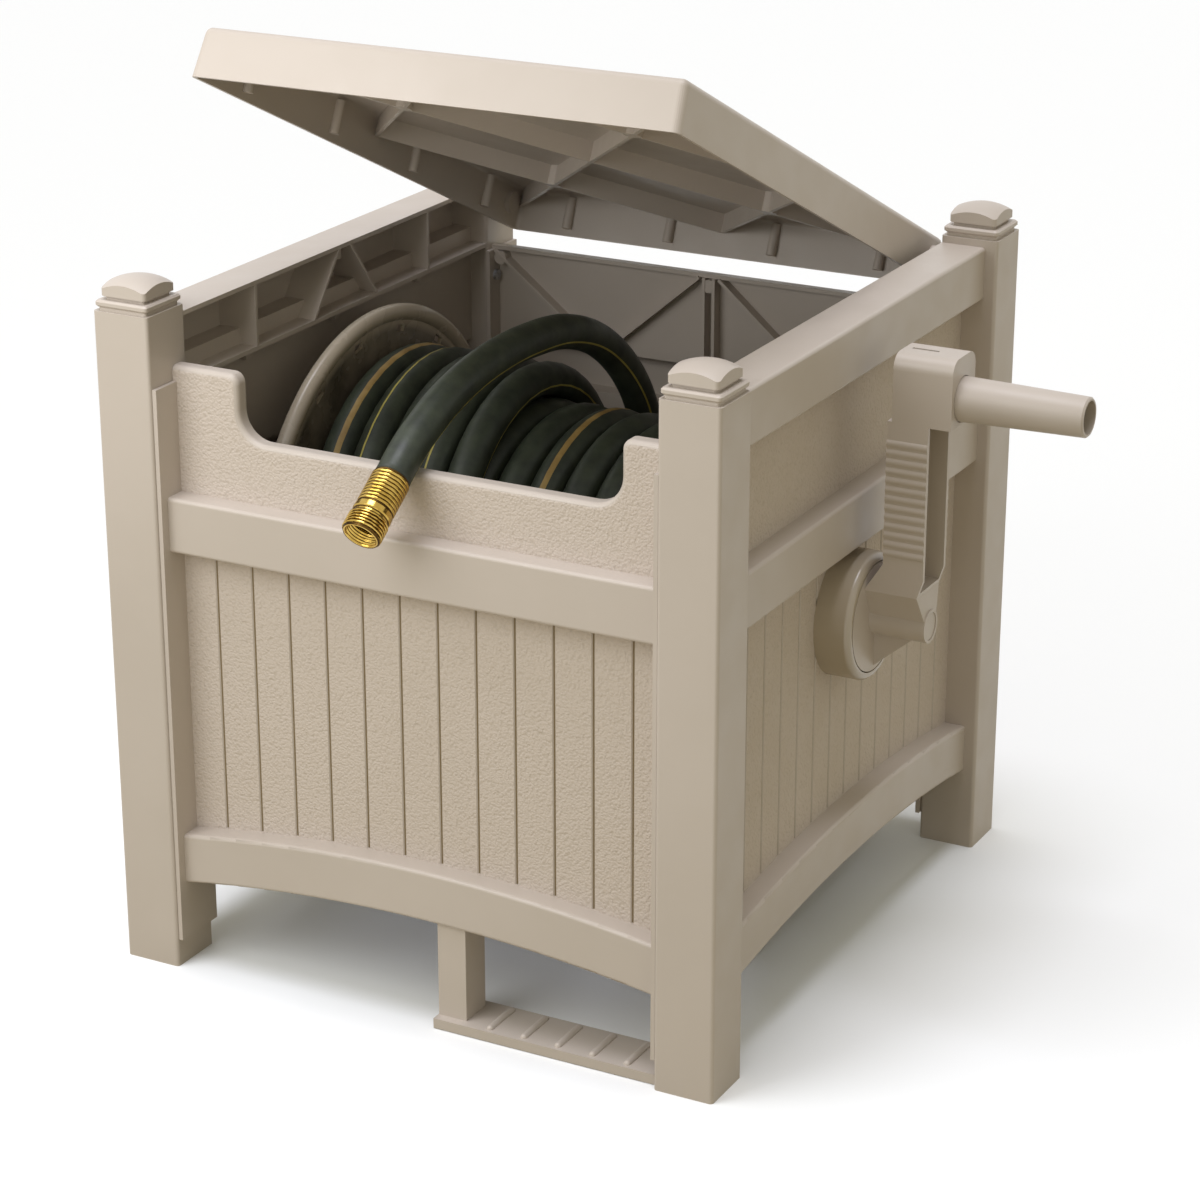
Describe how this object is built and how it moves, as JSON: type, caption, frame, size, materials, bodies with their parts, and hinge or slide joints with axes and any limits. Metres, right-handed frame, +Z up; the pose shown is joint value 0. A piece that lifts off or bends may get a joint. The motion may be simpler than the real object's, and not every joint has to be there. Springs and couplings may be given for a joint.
{
  "type": "cabinet hose reel",
  "caption": "Four-post plastic cabinet with a crank-driven garden hose reel inside, a hinged lid standing open, a notched front wall and a foot rest",
  "frame": {"origin": "Centre of the whole object's footprint on the floor, crank grip included; the cabinet's middle is 71 mm towards -X", "axes": "X along the front towards the crank, Y from the notched front to the back, Z up"},
  "size_m": [0.592, 0.5165, 0.638],
  "materials": {
    "cabinet_plastic": "moulded taupe resin, smooth on posts, rails and lid, pebble grained on the planks and upper walls",
    "reel_plastic": "moulded resin with a faint gloss",
    "fitting_plastic": "smooth black resin",
    "hose_rubber": "dark green hose with tan and yellow stripes along it",
    "seal_rubber": "plain black seal",
    "coupling_brass": "turned brass, lightly dulled",
    "screw_steel": "zinc plated"
  },
  "bodies": {
    "housing": {"left_side_panel": "cabinet_plastic", "right_side_panel": "cabinet_plastic", "front_panel": "cabinet_plastic", "rear_panel": "cabinet_plastic", "front_left_cap": "cabinet_plastic", "front_right_cap": "cabinet_plastic", "rear_left_cap": "cabinet_plastic", "rear_right_cap": "cabinet_plastic", "crank_collar": "cabinet_plastic", "inlet_bushing": "cabinet_plastic", "inlet_tube": "fitting_plastic", "inlet_seals": "seal_rubber", "foot_rest": "cabinet_plastic", "front_panel_screws": "screw_steel", "rear_panel_screws": "screw_steel", "foot_rest_screw": "screw_steel", "hose_lead": "hose_rubber", "coupling_ferrule": "coupling_brass", "coupling_fitting": "coupling_brass"},
    "reel": {"left_flange": "reel_plastic", "right_flange": "reel_plastic", "upper_drum_half": "reel_plastic", "lower_drum_half": "reel_plastic", "drum_screws": "screw_steel", "outlet_elbow": "fitting_plastic", "inner_coupling": "coupling_brass", "hose_core": "hose_rubber", "hose_winding": "hose_rubber", "crank_arm": "cabinet_plastic", "crank_screw": "screw_steel", "grip_pin": "screw_steel"},
    "grip": {"grip_sleeve": "cabinet_plastic"},
    "lid": {"lid_shell": "cabinet_plastic"}
  },
  "joints": [
    {"name": "lid_hinge", "type": "hinge", "parent": "housing", "child": "lid", "pos_m": [-0.071, 0.208, 0.4415], "axis": [-1, 0, 0], "range_deg": [-25, 70]},
    {"name": "reel_spin", "type": "hinge", "parent": "housing", "child": "reel", "pos_m": [-0.071, 0, 0.2505], "axis": [-1, 0, 0], "continuous": true, "deforming": ["hose_lead"]},
    {"name": "grip_spin", "type": "hinge", "parent": "reel", "child": "grip", "pos_m": [0.25, 0, 0.41], "axis": [1, 0, 0], "continuous": true}
  ]
}
